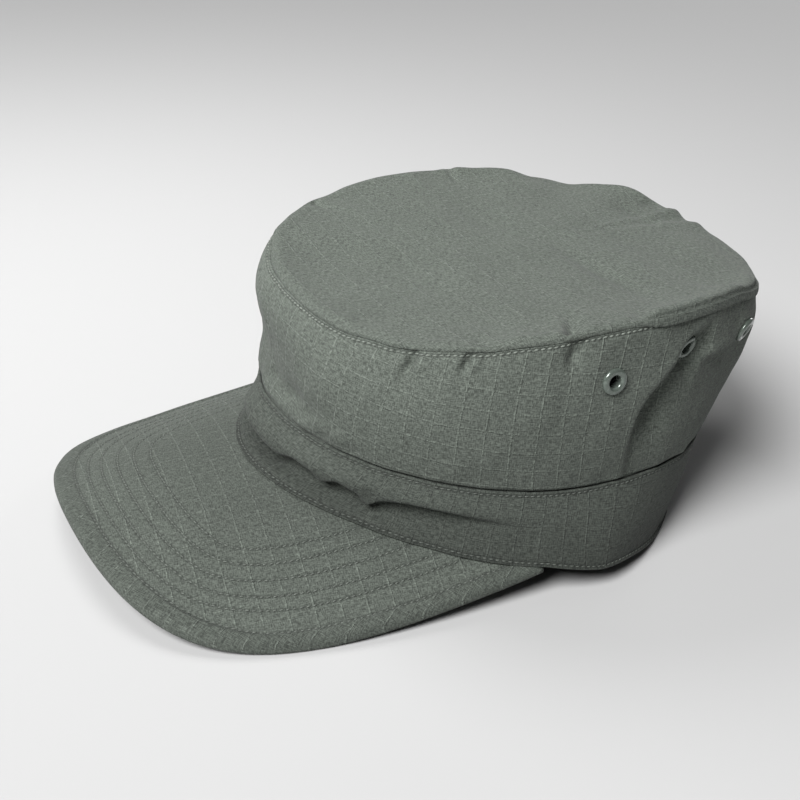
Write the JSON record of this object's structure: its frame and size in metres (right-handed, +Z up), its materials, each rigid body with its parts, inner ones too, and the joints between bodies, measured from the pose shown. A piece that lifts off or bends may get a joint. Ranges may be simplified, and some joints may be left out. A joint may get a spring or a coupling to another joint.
{
  "type": "tactical cap",
  "caption": "Soft field cap in ripstop cloth with a flat oval top, straight wall with vent eyelets, sewn band and stitched arched peak.",
  "frame": {"origin": "on the surface that the cap rests on, under the middle of its outer box", "axes": "+X to the wearer's left, +Y to the back of the head, the peak towards -Y, +Z up"},
  "size_m": [0.1938, 0.2862, 0.1038],
  "materials": {
    "crown_cloth": "grey-green ripstop cloth, matt",
    "band_cloth": "grey-green ripstop cloth, matt, topstitched",
    "peak_cloth": "grey-green ripstop cloth over a stiff core, stitched in concentric rows",
    "eyelet_metal": "grey-green painted metal, worn satin"
  },
  "bodies": {
    "root": {"crown_top": "crown_cloth", "crown_side": "crown_cloth", "band": "band_cloth", "peak": "peak_cloth", "eyelet_left_front": "eyelet_metal", "eyelet_left_middle": "eyelet_metal", "eyelet_left_back": "eyelet_metal", "eyelet_right_front": "eyelet_metal", "eyelet_right_middle": "eyelet_metal", "eyelet_right_back": "eyelet_metal"}
  },
  "joints": []
}
